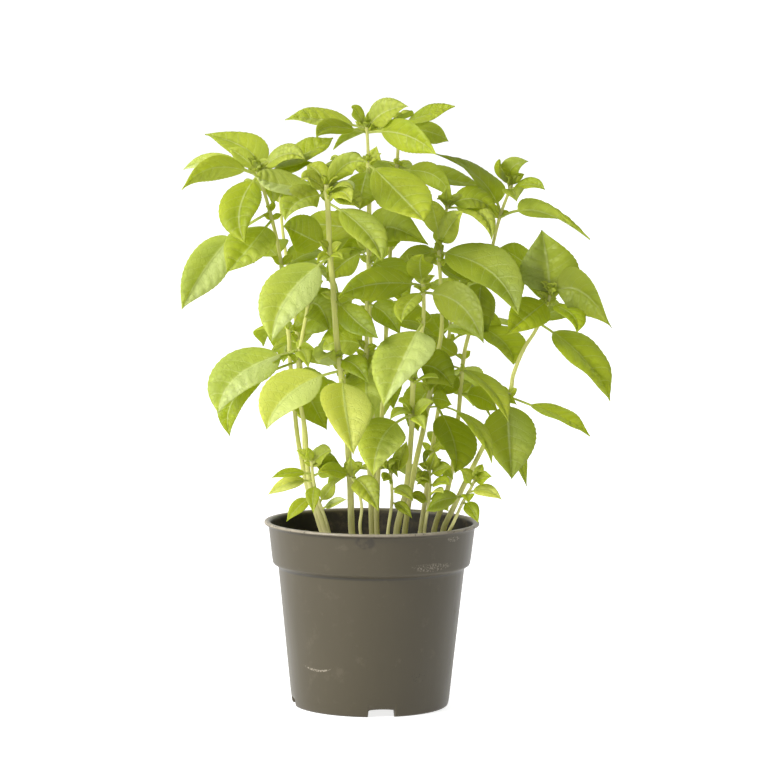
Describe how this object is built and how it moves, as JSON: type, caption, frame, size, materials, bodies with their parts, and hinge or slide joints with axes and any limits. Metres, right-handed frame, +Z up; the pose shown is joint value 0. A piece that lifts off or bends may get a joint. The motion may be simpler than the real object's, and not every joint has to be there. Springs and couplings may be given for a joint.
{
  "type": "potted basil plant",
  "caption": "Bushy basil plant with ovate yellow-green leaves on upright stems, growing from soil in a tapered taupe plastic nursery pot with a straight band and rolled lip.",
  "frame": {"origin": "middle of the bottom face of the whole part's box, on the surface that the pot stands on; the pot's axis stands 13.3 mm towards -X and 10 mm towards -Y of it", "axes": "+Z up along the pot's axis; -Y is the side that the picture shows"},
  "size_m": [0.258, 0.196, 0.3648],
  "materials": {
    "pot_plastic": "thin moulded taupe plastic, satin, with light scuffs",
    "growing_mix": "dark fibrous peat growing mix with crumbs",
    "basil_green": "soft satin leaf, bright yellow-green, with paler veins and pale stems",
    "seedling_green": "soft satin seedling leaf, light green"
  },
  "bodies": {
    "root": {"pot": "pot_plastic", "soil": "growing_mix", "stem_left_tall": "basil_green", "stem_left_low": "basil_green", "stem_front": "basil_green", "stem_top_centre": "basil_green", "stem_top_back": "basil_green", "stem_middle": "basil_green", "stem_centre_right": "basil_green", "stem_top_right": "basil_green", "stem_right": "basil_green", "stem_back_left": "basil_green", "stem_back_middle": "basil_green", "stem_back_right": "basil_green", "seedling_left": "seedling_green", "seedling_front": "seedling_green", "seedling_middle": "seedling_green", "seedling_right": "seedling_green", "seedling_far_right": "seedling_green"}
  },
  "joints": []
}
